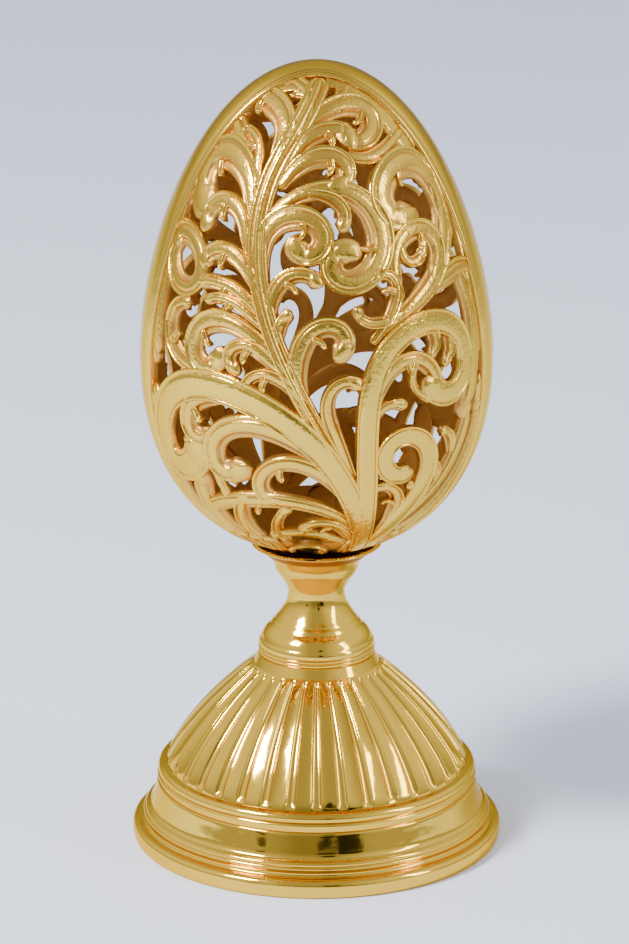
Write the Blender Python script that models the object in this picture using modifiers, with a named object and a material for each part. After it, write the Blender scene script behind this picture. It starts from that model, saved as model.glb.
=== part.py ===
"""Gilded openwork egg resting in the cup of a turned stand with a fluted dome foot.

Metres, +Z up. The origin is the middle of the foot's underside, and the front faces -Y.
The egg is a pierced shell: acanthus scrolls on a front and a back panel, with a smooth
band between them that runs up one side, over the top and down the other.
"""

import math
from collections import namedtuple

import bmesh
import bpy
import numpy as np

# Egg
EGG_HEIGHT = 0.0805
EGG_MID_RADIUS = 0.02785     # radius at half height
EGG_TAPER = 0.185            # how much fuller the lower half is than the upper
EGG_FULLNESS = 0.064         # how much both ends are rounded out
EGG_WALL = 0.0013
BAND_SIDE_HALF = 0.0095      # half width of the smooth band at the egg's widest place
BAND_TOP_HALF = 0.0042       # half width of the band at the top of the egg
BAND_GROOVE = 0.0009         # width of the groove along the band's edges
BASE_CAP = 0.0165            # the shell is whole this far up from its lowest point
RELIEF = 0.0008              # from a leaf's edge up to its crown
EDGE_TRIM = 0.0002           # the leaves are this much narrower, so that small holes stay open

# Fluted base; the stand's heights add up from the table to the rim of the cup
FOOT_RADIUS = 0.0304
FOOT_HEIGHT = 0.0128         # up to the shelf that the dome rises from
FOOT_WALL_RADIUS = 0.0271    # at the lower end of the foot's plain wall
SHOULDER_WIDTH = 0.0015      # how far the foot's shoulder stands out from the dome
FOOT_SEGMENTS = 48
DOME_RADIUS = 0.0247
DOME_HEIGHT = 0.0170
DOME_BULGE = 1.3             # 1 is a cone, 2 an ellipse
DOME_ROWS = 6
COLLAR_HEIGHT = 0.0017
COLLAR_SPREAD = 0.0008       # how much wider than the stem's foot the collar's foot is
FLUTE_COUNT = 36
FLUTE_WIDTH = 0.0013         # at the foot of a flute; it narrows with the dome
FLUTE_DEPTH = 0.0004
FLUTE_MARGIN = 0.0005        # from the flutes' ends to the collar and to the shelf

# Cup and stem
JOINT_GAP = 0.0003           # between the stem's foot and the collar of the base
STEM_FOOT_RADIUS = 0.0095
BELL_HEIGHT = 0.0100         # from the stem's foot up to the neck
NECK_RADIUS = 0.0046
CUP_HEIGHT = 0.0088          # from the neck up to the rim
CUP_DEPTH = 0.0020
SEAT_RADIUS = 0.0096         # where the egg rests on the cup's rim
SEAT_GAP = 0.0003
RIM_WIDTH = 0.0010
RIM_THICKNESS = 0.0007
STEM_SEGMENTS = 32

GOLD = (0.80, 0.58, 0.24, 1.0)
SHARP_ANGLE = 35             # degrees; flatter edges are shaded smooth

# The openwork is drawn flat, in millimetres, on an egg of this size: across is measured
# along the parallel from the middle of the panel, up along the meridian from the bottom.
PATTERN_MERIDIAN = 109.6
PATTERN_MID_RADIUS = 27.9

LINE_STEP = 1.0              # spacing of the points along a scroll's centre line
SCROLL_MARGIN = 0.0020       # the cover falls off over this distance from a scroll's edge
GRID_AROUND = 264
GRID_UP = 136
CUT_MARGIN = 0.05            # a cut crosses a grid edge no nearer to its ends than this share
EGG_FACES = 1650             # triangles kept on the open surface, before it gets its wall

# A scroll starts at (across, up), sets off at heading degrees from level, and turns by
# each of its bends in turn over equal shares of its length. Widths: root, middle, tip.
Scroll = namedtuple("Scroll", "across up heading length bends widths")

STEMS = (
    Scroll(6.5, 14.0, 80, 76, (7, 5, -11, -73, -74, -166), (3.4, 4.0, 4.4)),
    Scroll(7.0, 24.0, 95, 72, (21, 27, 23, 45, 71, 160), (3.6, 4.8, 5.6)),
    Scroll(5.5, 34.0, 115, 73, (5, -5, -14, -24, -21, 22), (2.6, 3.4, 3.2)),
    Scroll(9.0, 16.0, 71, 48.5, (-15, -1, 26, 68, 108, 149), (3.4, 4.0, 3.4)),
    Scroll(5.0, 33.5, 121, 37, (20, 28, 62, 164), (2.4, 4.4, 3.8)),
    Scroll(5.5, 36.0, 107, 20, (3, 2, -42, -106), (2.0, 2.8, 2.2)),
)

LEAVES_LEFT_OF_PLUME = (
    Scroll(-1.0, 47.0, 124, 16, (10, 47, 126), (1.6, 2.6, 2.0)),
    Scroll(-3.5, 50.5, 125, 17, (10, 30, 164), (1.6, 2.8, 2.2)),
    Scroll(-5.5, 54.0, 128, 29, (16, 44, 80, 169), (1.8, 3.4, 2.8)),
    Scroll(-8.0, 60.0, 140, 12, (5, 20, 39), (1.6, 2.4, 1.8)),
    Scroll(-8.8, 62.0, 133, 13, (11, 27, 21), (1.6, 2.6, 2.2)),
    Scroll(-10.0, 66.5, 115, 13, (17, 45, 72), (1.8, 3.0, 2.4)),
    Scroll(-11.3, 72.0, 99, 17.5, (7, 96, 62), (1.8, 3.2, 2.6)),
    Scroll(-11.0, 77.0, 86, 25, (14, 75, 56, 58), (2.2, 5.0, 4.2)),
    Scroll(-10.5, 82.0, 83, 12, (-1, 16, 118), (1.6, 2.4, 1.8)),
    Scroll(-8.5, 85.0, 72, 25, (-3, 48, 95, 23), (2.0, 4.0, 3.4)),
    Scroll(-4.0, 91.0, 70, 15, (5, 42, 77), (1.8, 2.6, 2.4)),
)

LEAVES_RIGHT_OF_PLUME = (
    Scroll(-1.5, 46.5, 113, 23, (-16, -25, -66, -139), (2.2, 3.4, 2.6)),
    Scroll(-6.5, 57.0, 87, 6, (-4, -17, -13), (1.6, 2.4, 2.0)),
    Scroll(-7.8, 60.0, 88, 14.5, (-9, -46, -80), (1.8, 3.0, 2.4)),
    Scroll(-8.5, 66.0, 104, 27.5, (-19, -65, -83, -179), (1.8, 3.6, 3.0)),
    Scroll(-7.0, 78.5, 47, 41, (-28, -45, -38, -56, -73, -183), (1.8, 4.4, 3.2)),
    Scroll(-1.0, 82.0, -5, 8.7, (-14, -38, -55), (1.6, 2.4, 2.2)),
    Scroll(-5.5, 83.5, 53, 16, (-16, -60, -134), (1.8, 3.2, 2.6)),
    Scroll(-4.0, 87.0, 58, 13.5, (-11, -37, -80), (1.8, 3.0, 2.4)),
    Scroll(-2.5, 90.5, 57, 25.5, (-20, -58, -60, -166), (2.0, 4.0, 3.2)),
    Scroll(2.5, 96.5, 62, 8, (4, 8, 8), (2.4, 3.6, 3.0)),
)

RIGHT_SCROLLS = (
    Scroll(8.7, 43.0, 85, 23.5, (-9, -37, -73, -57), (2.0, 3.4, 2.8)),
    Scroll(17.5, 54.2, -135, 8.2, (38, 55, 23), (1.4, 2.0, 1.8)),
    Scroll(9.0, 44.5, 67, 6.8, (-13, -42, -35), (1.6, 2.2, 2.0)),
    Scroll(17.0, 61.0, -23, 8.3, (-13, -44, -55), (1.8, 2.4, 1.8)),
    Scroll(21.0, 60.5, -25, 9.2, (-20, -47, -41), (1.8, 2.6, 2.0)),
    Scroll(9.5, 58.5, 49, 14, (6, 41, 122), (1.6, 2.2, 1.8)),
    Scroll(14.0, 62.0, -163, 8.3, (-4, -22, -66), (1.8, 2.0, 1.8)),
    Scroll(14.0, 65.0, 108, 22.5, (-18, -76, -70, -70), (2.0, 3.2, 2.6)),
    Scroll(14.5, 73.0, -91, 6.9, (31, 73, 51), (1.6, 2.2, 1.8)),
    Scroll(12.0, 60.0, 37, 28.5, (-5, 23, 42, 17), (3.0, 4.2, 3.2)),
    Scroll(26.0, 73.0, 105, 31.5, (10, 42, 96, 111), (3.0, 4.8, 3.6)),
    Scroll(6.0, 88.0, -22, 11, (33, 18, 0), (2.2, 2.6, 2.4)),
    Scroll(20.0, 65.0, 20, 15, (-5, -25, -35), (3.0, 4.0, 3.4)),
    Scroll(29.0, 65.0, -60, 22, (-20, -12, -12, -8), (3.6, 4.6, 3.6)),
)

LEFT_SCROLLS = (
    Scroll(-10.0, 48.3, 162, 22, (27, 11, 75, 128), (2.2, 3.4, 2.8)),
    Scroll(-15.0, 51.8, 177, 22.5, (-2, -22, -76, -69), (1.8, 2.8, 2.4)),
    Scroll(-34.0, 50.0, 86, 46, (-2, -12, -28, -65, -113, -140), (3.4, 5.0, 3.8)),
    Scroll(-34.0, 69.0, 70, 17, (-12, -20, -20), (4.0, 5.0, 4.0)),
    Scroll(-11.5, 88.0, 135, 9, (2, 3, 5), (3.0, 4.2, 3.8)),
    Scroll(-29.0, 36.0, 150, 8, (-5, -10, -10), (4.0, 4.0, 4.0)),
)

BASE_LEAVES = (
    Scroll(9.5, 18.0, 70, 21, (-2, -5, 45, 118), (2.2, 3.0, 2.2)),
    Scroll(5.5, 30.0, 117, 25, (16, 35, 71, 110), (2.4, 3.6, 2.8)),
    Scroll(6.5, 22.0, 110, 32.5, (39, 32, 14, 52), (2.4, 3.6, 3.6)),
    Scroll(6.0, 18.0, 101, 13, (13, 43, 100), (2.4, 3.2, 2.4)),
    Scroll(4.5, 17.0, 124, 13, (13, 39, 38), (2.4, 3.2, 2.6)),
    Scroll(-5.0, 19.0, 113, 10, (-5, -28, -30), (2.2, 2.2, 2.0)),
    Scroll(-9.0, 18.0, 125, 13, (-5, -22, -27), (2.8, 3.2, 2.8)),
    Scroll(-12.0, 17.0, 138, 19, (-7, -18, -18), (3.6, 4.8, 4.0)),
    Scroll(-24.0, 39.3, -16, 12.5, (-17, -29, -9), (2.0, 2.6, 2.0)),
    Scroll(15.0, 23.0, 48, 29, (-1, 2, 13, 13), (3.0, 3.8, 3.0)),
    Scroll(15.0, 20.0, 38, 31, (3, 5, 15, 19), (3.6, 4.2, 3.2)),
    Scroll(14.0, 16.5, 30, 34, (3, 6, 14, 22), (3.6, 4.6, 3.6)),
    Scroll(-12.0, 16.0, 150, 38, (-5, -10, -20, -30), (4.4, 5.6, 3.6)),
)

SCROLLS = (
    STEMS + LEAVES_LEFT_OF_PLUME + LEAVES_RIGHT_OF_PLUME
    + RIGHT_SCROLLS + LEFT_SCROLLS + BASE_LEAVES
)


def clear_scene():
    """Remove every object that the new file holds."""
    for old in list(bpy.data.objects):
        bpy.data.objects.remove(old, do_unlink=True)


def make_collection(name):
    """Add a collection to the scene."""
    collection = bpy.data.collections.new(name)
    bpy.context.scene.collection.children.link(collection)
    return collection


def gold_material(name, roughness):
    """Polished gilding, a little rougher where asked."""
    material = bpy.data.materials.new(name)
    material.use_nodes = True
    shader = material.node_tree.nodes["Principled BSDF"]
    shader.inputs["Base Color"].default_value = GOLD
    shader.inputs["Metallic"].default_value = 1.0
    shader.inputs["Roughness"].default_value = roughness
    return material


def add_object(name, mesh, collection, material):
    """Put a mesh in the collection as a named, smooth-shaded object."""
    made = bpy.data.objects.new(name, mesh)
    collection.objects.link(made)
    mesh.materials.clear()
    mesh.materials.append(material)
    mesh.shade_smooth()
    mesh.set_sharp_from_angle(angle=math.radians(SHARP_ANGLE))
    return made


def turned_object(name, profile, segments, collection, material):
    """Turn a profile, listed from the top down its outer side, round the Z axis."""
    mesh = bpy.data.meshes.new(name)
    points = [(radius, 0.0, height) for radius, height in profile]
    edges = [(i, i + 1) for i in range(len(points) - 1)]
    mesh.from_pydata(points, edges, [])
    made = add_object(name, mesh, collection, material)
    screw = made.modifiers.new("turned", "SCREW")
    screw.steps = segments
    screw.render_steps = segments
    screw.use_merge_vertices = True
    screw.merge_threshold = 0.00001
    screw.use_smooth_shade = True
    return made


def bake_modifiers(made):
    """Give an object the mesh that its modifiers make."""
    evaluated = made.evaluated_get(bpy.context.evaluated_depsgraph_get())
    mesh = bpy.data.meshes.new_from_object(evaluated)
    made.modifiers.clear()
    old = made.data
    made.data = mesh
    bpy.data.meshes.remove(old)


def egg_radius(angle):
    """Radius of the egg at a profile angle, from -90 degrees at the bottom to 90."""
    rise = np.sin(angle)
    return EGG_MID_RADIUS * np.cos(angle) * (1.0 - EGG_TAPER * rise + EGG_FULLNESS * rise**2)


def egg_rise(angle):
    """Height of the egg's profile at an angle, above the egg's lowest point."""
    return EGG_HEIGHT * (1.0 + np.sin(angle)) / 2.0


PROFILE_ANGLES = np.linspace(-math.pi / 2, math.pi / 2, 1801)
PROFILE_STEPS = np.hypot(
    np.diff(egg_radius(PROFILE_ANGLES)), np.diff(egg_rise(PROFILE_ANGLES))
)
MERIDIAN = np.concatenate([[0.0], np.cumsum(PROFILE_STEPS)])

COLLAR_TOP = FOOT_HEIGHT + DOME_HEIGHT + COLLAR_HEIGHT
STEM_BOTTOM = COLLAR_TOP + JOINT_GAP
NECK_HEIGHT = STEM_BOTTOM + BELL_HEIGHT
RIM_HEIGHT = NECK_HEIGHT + CUP_HEIGHT


def egg_bottom():
    """Height of the egg's lowest point when it rests on the cup's rim."""
    lower = PROFILE_ANGLES[PROFILE_ANGLES < -math.pi / 6]
    seat_angle = np.interp(SEAT_RADIUS, egg_radius(lower), lower)
    return RIM_HEIGHT + SEAT_GAP - float(egg_rise(seat_angle))


EGG_BOTTOM = egg_bottom()


def egg_height(angle):
    """Height above the table of the egg's profile at an angle."""
    return EGG_BOTTOM + egg_rise(angle)


def angle_at(distance):
    """Profile angle at a distance up the meridian from the bottom."""
    return np.interp(distance, MERIDIAN, PROFILE_ANGLES)


def egg_normal(angle):
    """Outward direction of the profile, as its radial and upward shares."""
    step = 0.0005
    low = np.maximum(angle - step, -math.pi / 2)
    high = np.minimum(angle + step, math.pi / 2)
    out = egg_height(high) - egg_height(low)
    up = egg_radius(low) - egg_radius(high)
    length = np.hypot(out, up)
    return out / length, up / length


def egg_point(azimuth, angle, lift=0.0):
    """Point on the egg, lifted along the outward normal; azimuth 0 is the front."""
    out, up = egg_normal(angle)
    radius = egg_radius(angle) + out * lift
    height = egg_height(angle) + up * lift
    return np.stack([radius * np.sin(azimuth), -radius * np.cos(azimuth), height], axis=-1)


def scroll_line(scroll):
    """Centre line of a scroll on the egg, and its half width along the way."""
    samples = max(12, round(scroll.length / LINE_STEP))
    share = (np.arange(samples) + 0.5) / samples
    count = len(scroll.bends)
    middles = (np.arange(count) + 0.5) / count
    turning = np.interp(share, middles, np.array(scroll.bends, float)) * count / samples
    heading = np.radians(scroll.heading + np.cumsum(turning) - turning / 2)
    step = scroll.length / samples
    across = scroll.across + np.concatenate([[0.0], np.cumsum(np.cos(heading) * step)])
    up = scroll.up + np.concatenate([[0.0], np.cumsum(np.sin(heading) * step)])
    scale = MERIDIAN[-1] / PATTERN_MERIDIAN
    angle = angle_at(up * scale)
    flat_radius = egg_radius(angle) / EGG_MID_RADIUS * PATTERN_MID_RADIUS
    points = egg_point(across / np.maximum(flat_radius, 1.0), angle)
    half = np.interp(np.linspace(0.0, 1.0, samples + 1), (0.0, 0.5, 1.0), scroll.widths) / 2
    return points, half * scale


def openwork(points, meridian):
    """Cover and relief of the pierced shell at points of the egg's surface.

    Cover is above zero where there is metal, and relief runs from 0 at a leaf's edge
    to 1 on its crown. The back panel is the front one turned half way round.
    """
    side = np.where(points[:, 1] > 0.0, -1.0, 1.0)
    front = points * np.stack([side, side, np.ones_like(side)], axis=-1)
    cover = np.full(len(points), -1.0)
    relief = np.zeros(len(points))
    for scroll in SCROLLS:
        line, half = scroll_line(scroll)
        reach = half.max() + SCROLL_MARGIN
        low = line.min(axis=0) - reach
        high = line.max(axis=0) + reach
        near = np.flatnonzero(np.all((front > low) & (front < high), axis=1))
        if len(near) == 0:
            continue
        away = np.linalg.norm(front[near, None, :] - line[None, :, :], axis=2)
        gap = half[None, :] - away
        nearest = gap.argmax(axis=1)
        best = gap[np.arange(len(near)), nearest]
        cover[near] = np.maximum(cover[near], best)
        inside = np.clip(best / half[nearest], 0.0, 1.0)
        crown = np.sqrt(1.0 - (1.0 - inside) ** 2)
        relief[near] = np.maximum(relief[near], crown)
    width = egg_radius(angle_at(meridian)) / EGG_MID_RADIUS
    band_half = BAND_TOP_HALF + (BAND_SIDE_HALF - BAND_TOP_HALF) * np.minimum(width, 1.0)
    band = band_half - np.abs(points[:, 1])
    cap = BASE_CAP - meridian
    for plain in (band, cap):
        cover = np.maximum(cover, plain)
        relief = np.maximum(relief, np.clip(plain / BAND_GROOVE, 0.0, 1.0))
    return cover - EDGE_TRIM, relief


def openwork_surface(name):
    """The egg's pierced outer surface, cut along the scrolls' edges."""
    meridian = np.linspace(0.0, MERIDIAN[-1], GRID_UP + 1)[1:-1]
    azimuth = np.linspace(0.0, 2 * math.pi, GRID_AROUND, endpoint=False)
    rows = np.repeat(meridian, GRID_AROUND)
    columns = np.tile(azimuth, len(meridian))
    angle = angle_at(rows)
    cover, relief = openwork(egg_point(columns, angle), rows)
    points = egg_point(columns, angle, (relief - 1.0) * RELIEF)
    bottom = egg_point(0.0, -math.pi / 2)
    top = egg_point(0.0, math.pi / 2)
    points = np.concatenate([points, [bottom, top]])
    cover = np.concatenate([cover, [BASE_CAP, BAND_TOP_HALF]])
    triangles = grid_triangles(len(meridian))
    return pierced_mesh(name, points, cover, triangles)


def grid_triangles(rows):
    """Triangles of a round grid of rows, closed by a fan at the bottom and the top."""
    bottom = rows * GRID_AROUND
    triangles = []
    for column in range(GRID_AROUND):
        after = (column + 1) % GRID_AROUND
        triangles.append((bottom, after, column))
        last = (rows - 1) * GRID_AROUND
        triangles.append((bottom + 1, last + column, last + after))
        for row in range(rows - 1):
            low = row * GRID_AROUND
            high = low + GRID_AROUND
            triangles.append((low + column, low + after, high + after))
            triangles.append((low + column, high + after, high + column))
    return triangles


def pierced_mesh(name, points, cover, triangles):
    """Keep the parts of the triangles where the cover is above zero."""
    mesh = bpy.data.meshes.new(name)
    shell = bmesh.new()
    corners = [shell.verts.new(point) for point in points]
    crossings = {}

    def crossing(one, other):
        key = (min(one, other), max(one, other))
        if key not in crossings:
            share = cover[key[0]] / (cover[key[0]] - cover[key[1]])
            share = min(max(share, CUT_MARGIN), 1.0 - CUT_MARGIN)
            place = points[key[0]] * (1.0 - share) + points[key[1]] * share
            crossings[key] = shell.verts.new(place)
        return crossings[key]

    for triangle in triangles:
        outline = []
        for place, one in enumerate(triangle):
            other = triangle[(place + 1) % 3]
            if cover[one] > 0.0:
                outline.append(corners[one])
            if (cover[one] > 0.0) != (cover[other] > 0.0):
                outline.append(crossing(one, other))
        if len(outline) >= 3:
            shell.faces.new(outline)
    loose = [corner for corner in shell.verts if not corner.link_faces]
    bmesh.ops.delete(shell, geom=loose, context="VERTS")
    bmesh.ops.triangulate(shell, faces=shell.faces[:])
    shell.to_mesh(mesh)
    shell.free()
    return mesh


def fan_of(rim, corner):
    """The last edge of the fan of faces that starts at a rim edge of a corner."""
    edge = rim
    face = rim.link_faces[0]
    while True:
        edge = next(e for e in face.edges if e is not edge and corner in e.verts)
        if len(edge.link_faces) < 2:
            return edge
        face = next(f for f in edge.link_faces if f is not face)


def leaves_corner(rim, corner):
    """Whether the face beside a rim edge runs along it away from the corner."""
    return rim.link_loops[0].vert is corner


def fill_pinches(mesh):
    """Join leaves that touch at one corner only by a small web in the narrower notch."""
    shell = bmesh.new()
    shell.from_mesh(mesh)
    for corner in list(shell.verts):
        rims = [edge for edge in corner.link_edges if edge.is_boundary]
        while len(rims) > 2:
            notches = []
            for one in rims:
                for other in rims:
                    if leaves_corner(one, corner) and not leaves_corner(other, corner):
                        if fan_of(one, corner) is not other:
                            ways = [e.other_vert(corner).co - corner.co for e in (one, other)]
                            notches.append((ways[0].angle(ways[1]), one, other))
            _, one, other = min(notches, key=lambda notch: notch[0])
            shell.faces.new((one.other_vert(corner), corner, other.other_vert(corner)))
            rims = [edge for edge in corner.link_edges if edge.is_boundary]
    shell.to_mesh(mesh)
    shell.free()


def give_wall(mesh):
    """Turn the open surface into a shell, its inner side moved in along the egg's normal."""
    shell = bmesh.new()
    shell.from_mesh(mesh)
    copied = bmesh.ops.extrude_face_region(shell, geom=shell.faces[:], use_keep_orig=True)
    for item in copied["geom"]:
        if isinstance(item, bmesh.types.BMVert):
            x, y, z = item.co
            rise = 2.0 * (z - EGG_BOTTOM) / EGG_HEIGHT - 1.0
            out, up = egg_normal(math.asin(min(max(rise, -1.0), 1.0)))
            shrink = 1.0 - EGG_WALL * out / max(math.hypot(x, y), EGG_WALL)
            item.co = (x * shrink, y * shrink, z - EGG_WALL * up)
    bmesh.ops.recalc_face_normals(shell, faces=shell.faces[:])
    shell.to_mesh(mesh)
    shell.free()
    mesh.set_sharp_from_angle(angle=math.radians(SHARP_ANGLE))


def make_egg(collection, material):
    """The openwork egg: the pierced surface, thinned to few faces and given its wall."""
    mesh = openwork_surface("openwork_egg")
    egg = add_object("openwork_egg", mesh, collection, material)
    thin = egg.modifiers.new("fewer faces", "DECIMATE")
    thin.ratio = EGG_FACES / len(mesh.polygons)
    bake_modifiers(egg)
    fill_pinches(egg.data)
    give_wall(egg.data)
    return egg


def make_cup_and_stem(collection, material):
    """The cup with its thin lip, the waisted neck and the bell down to the torus."""
    rim_radius = SEAT_RADIUS + RIM_WIDTH
    profile = [
        (0.0, RIM_HEIGHT - CUP_DEPTH),
        (SEAT_RADIUS * 0.55, RIM_HEIGHT - CUP_DEPTH * 0.85),
        (SEAT_RADIUS * 0.85, RIM_HEIGHT - CUP_DEPTH * 0.45),
        (SEAT_RADIUS, RIM_HEIGHT),
        (rim_radius, RIM_HEIGHT),
        (rim_radius, RIM_HEIGHT - RIM_THICKNESS),
        (rim_radius * 0.90, NECK_HEIGHT + CUP_HEIGHT * 0.85),
        (rim_radius * 0.78, NECK_HEIGHT + CUP_HEIGHT * 0.73),
        (rim_radius * 0.67, NECK_HEIGHT + CUP_HEIGHT * 0.61),
        (rim_radius * 0.65, NECK_HEIGHT + CUP_HEIGHT * 0.54),
        (NECK_RADIUS * 1.24, NECK_HEIGHT + CUP_HEIGHT * 0.31),
        (NECK_RADIUS * 1.06, NECK_HEIGHT + CUP_HEIGHT * 0.14),
        (NECK_RADIUS, NECK_HEIGHT),
        (NECK_RADIUS * 1.07, NECK_HEIGHT - BELL_HEIGHT * 0.14),
        (NECK_RADIUS * 1.28, NECK_HEIGHT - BELL_HEIGHT * 0.31),
        (NECK_RADIUS * 1.52, NECK_HEIGHT - BELL_HEIGHT * 0.43),
        (STEM_FOOT_RADIUS * 0.80, NECK_HEIGHT - BELL_HEIGHT * 0.52),
        (STEM_FOOT_RADIUS * 0.82, NECK_HEIGHT - BELL_HEIGHT * 0.57),
        (STEM_FOOT_RADIUS * 0.93, NECK_HEIGHT - BELL_HEIGHT * 0.68),
        (STEM_FOOT_RADIUS, NECK_HEIGHT - BELL_HEIGHT * 0.80),
        (STEM_FOOT_RADIUS, NECK_HEIGHT - BELL_HEIGHT * 0.92),
        (STEM_FOOT_RADIUS * 0.98, STEM_BOTTOM),
        (0.0, STEM_BOTTOM),
    ]
    return turned_object("cup_and_stem", profile, STEM_SEGMENTS, collection, material)


def dome_radius(share):
    """Radius of the smooth dome at a share of its height, 0 at the shelf, 1 at the collar."""
    top = (STEM_FOOT_RADIUS + COLLAR_SPREAD) / DOME_RADIUS
    closed = (1.0 - top**DOME_BULGE) * share**DOME_BULGE
    return DOME_RADIUS * (1.0 - closed) ** (1.0 / DOME_BULGE)


def flute_depth(azimuth, rise):
    """Depth of the flutes at a place on the dome, rise being the height over the shelf."""
    pitch = 2 * math.pi / FLUTE_COUNT
    offset = (azimuth + pitch / 2) % pitch - pitch / 2
    half = FLUTE_WIDTH / DOME_RADIUS / 2
    across = max(0.0, 1.0 - abs(offset) / half)
    ends = (min(rise, DOME_HEIGHT - rise) - FLUTE_MARGIN) / FLUTE_WIDTH
    return FLUTE_DEPTH * across * min(max(ends, 0.0), 1.0)


def make_fluted_base(collection, cutters, material):
    """The dome with its collar and flutes, joined to the moulded round foot."""
    shares = [1.0 - row / DOME_ROWS for row in range(DOME_ROWS + 1)]
    inside_foot = FOOT_HEIGHT * 0.8
    profile = [(0.0, COLLAR_TOP), (STEM_FOOT_RADIUS, COLLAR_TOP)]
    profile += [(dome_radius(share), FOOT_HEIGHT + DOME_HEIGHT * share) for share in shares]
    profile += [(DOME_RADIUS, inside_foot), (0.0, inside_foot)]
    dome = turned_object("fluted_base", profile, FLUTE_COUNT * 3, collection, material)
    bake_modifiers(dome)
    for vertex in dome.data.vertices:
        x, y, z = vertex.co
        rise = z - FOOT_HEIGHT
        if 0.0 < rise < DOME_HEIGHT:
            depth = flute_depth(math.atan2(x, -y), rise)
            shrink = 1.0 - depth / math.hypot(x, y)
            vertex.co = (x * shrink, y * shrink, z)
    foot = make_foot(cutters, material)
    union = dome.modifiers.new("foot", "BOOLEAN")
    union.operation = "UNION"
    union.solver = "EXACT"
    union.object = foot
    return dome


def make_foot(cutters, material):
    """The round foot: a shoulder, a plain wall, a hollow and a rounded edge."""
    shoulder = DOME_RADIUS + SHOULDER_WIDTH
    profile = [
        (0.0, FOOT_HEIGHT),
        (DOME_RADIUS + SHOULDER_WIDTH * 0.3, FOOT_HEIGHT),
        (shoulder, FOOT_HEIGHT * 0.93),
        (shoulder, FOOT_HEIGHT * 0.76),
        (FOOT_WALL_RADIUS * 0.985, FOOT_HEIGHT * 0.69),
        (FOOT_WALL_RADIUS, FOOT_HEIGHT * 0.445),
        (FOOT_RADIUS * 0.924, FOOT_HEIGHT * 0.39),
        (FOOT_RADIUS * 0.940, FOOT_HEIGHT * 0.33),
        (FOOT_RADIUS * 0.936, FOOT_HEIGHT * 0.26),
        (FOOT_RADIUS * 0.980, FOOT_HEIGHT * 0.23),
        (FOOT_RADIUS, FOOT_HEIGHT * 0.18),
        (FOOT_RADIUS, FOOT_HEIGHT * 0.07),
        (FOOT_RADIUS * 0.990, 0.0),
        (0.0, 0.0),
    ]
    foot = turned_object("foot_blank", profile, FOOT_SEGMENTS, cutters, material)
    foot.display_type = "WIRE"
    foot.hide_render = True
    return foot


def main():
    """Build the egg and its stand."""
    clear_scene()
    parts = make_collection("decorative_egg")
    cutters = make_collection("blanks")
    make_egg(parts, gold_material("gilded openwork", 0.18))
    make_cup_and_stem(parts, gold_material("gilded cup", 0.12))
    make_fluted_base(parts, cutters, gold_material("gilded base", 0.12))


main()
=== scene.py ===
"""The looks of the gilded openwork egg and its stand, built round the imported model."""

import math
from collections import namedtuple

import bpy
import numpy as np
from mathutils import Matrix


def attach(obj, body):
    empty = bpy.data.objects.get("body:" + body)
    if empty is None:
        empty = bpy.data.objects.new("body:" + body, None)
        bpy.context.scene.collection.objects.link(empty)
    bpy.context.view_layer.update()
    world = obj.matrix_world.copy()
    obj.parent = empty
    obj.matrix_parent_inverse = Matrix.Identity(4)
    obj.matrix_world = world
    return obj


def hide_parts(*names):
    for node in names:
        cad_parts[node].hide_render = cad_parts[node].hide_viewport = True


MM = 0.001

# Camera, worked out from the rings of the stand: distances are from the foot's middle
CAMERA_DISTANCE = 0.747
CAMERA_ELEVATION = math.radians(21.8)
CAMERA_PITCH = math.radians(17.25)
CAMERA_SIDESTEP = -0.00033
CAMERA_LENS = 171.07

# Light tent: colours below and above, strength in front and to the sides, and the dark
# openings near the camera with their direction, flatness and reach
TENT_BELOW = (0.38, 0.39, 0.41, 1.0)
TENT_ABOVE = (0.86, 0.89, 0.95, 1.0)
TENT_FRONT = 0.68
TENT_SIDES = 1.45
OPENING_LIGHT = 0.03
OPENING_EDGE = 0.03
TENT_GAPS = (
    ((0.38, -0.92, 0.09), 2.2, 0.15),
    ((0.13, -0.99, 0.12), 2.2, 0.08),
    ((-0.62, -0.78, 0.12), 2.2, 0.08),
    ((0.14, -0.92, 0.36), 0.5, 0.06),
)
LIGHT_TARGET = (0.0, 0.0, 0.06)

# Colours of the gilding, of the painted shade in its creases and hollows, in the niche and in
# the cup under the egg, and of the floor
OPENWORK_GOLD = (0.79, 0.505, 0.062, 1.0)
STAND_GOLD = (0.77, 0.475, 0.052, 1.0)
# painted shade for the creases, the grooves and the backs of the leaves
PAINTED_SHADE_GOLD = (0.57, 0.29, 0.07, 1.0)
EDGE_GOLD = (1.0, 0.78, 0.42, 1.0)
# painted shadow for the plate in the niche
NICHE_SHADOW_GOLD = (0.035, 0.016, 0.005, 1.0)
# painted shade for the inside of the cup under the egg
CUP_SHADE_GOLD = (0.32, 0.13, 0.03, 1.0)
PALE_FLOOR = (0.725, 0.79, 0.94, 1.0)

# Surface of the metal
CLOUD_SCALE = 160.0          # features per metre in the polish
GRAIN_SCALE = 1400.0         # and in the fine dents
WAVE_SCALE = 260.0           # and in the wide ones
WAVE_HEIGHT = 0.00008        # metres
HOLLOW_DULLNESS = 0.38       # roughness that a hollow adds
SHARP_ANGLE = math.radians(38)

# Egg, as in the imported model, in metres
EGG_BOTTOM = 0.04933
EGG_HEIGHT = 0.0805
EGG_MID_RADIUS = 0.02785
EGG_TAPER = 0.185
EGG_FULLNESS = 0.064
SHELL = 0.0016               # from the egg's outer surface in to the back of the leaves
NICHE_SHELL = 0.0012
BAND_SIDE_HALF = 0.0095
BAND_TOP_HALF = 0.0042
BASE_CAP = 0.0165            # reach of the bottom cap, up the meridian

# Flattened panel that the scrolls are drawn on, in millimetres
PATTERN_MERIDIAN = 109.6
PATTERN_MID_RADIUS = 27.9
CUP_REACH = 9.0              # the cup hides the scrolls below this

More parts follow.
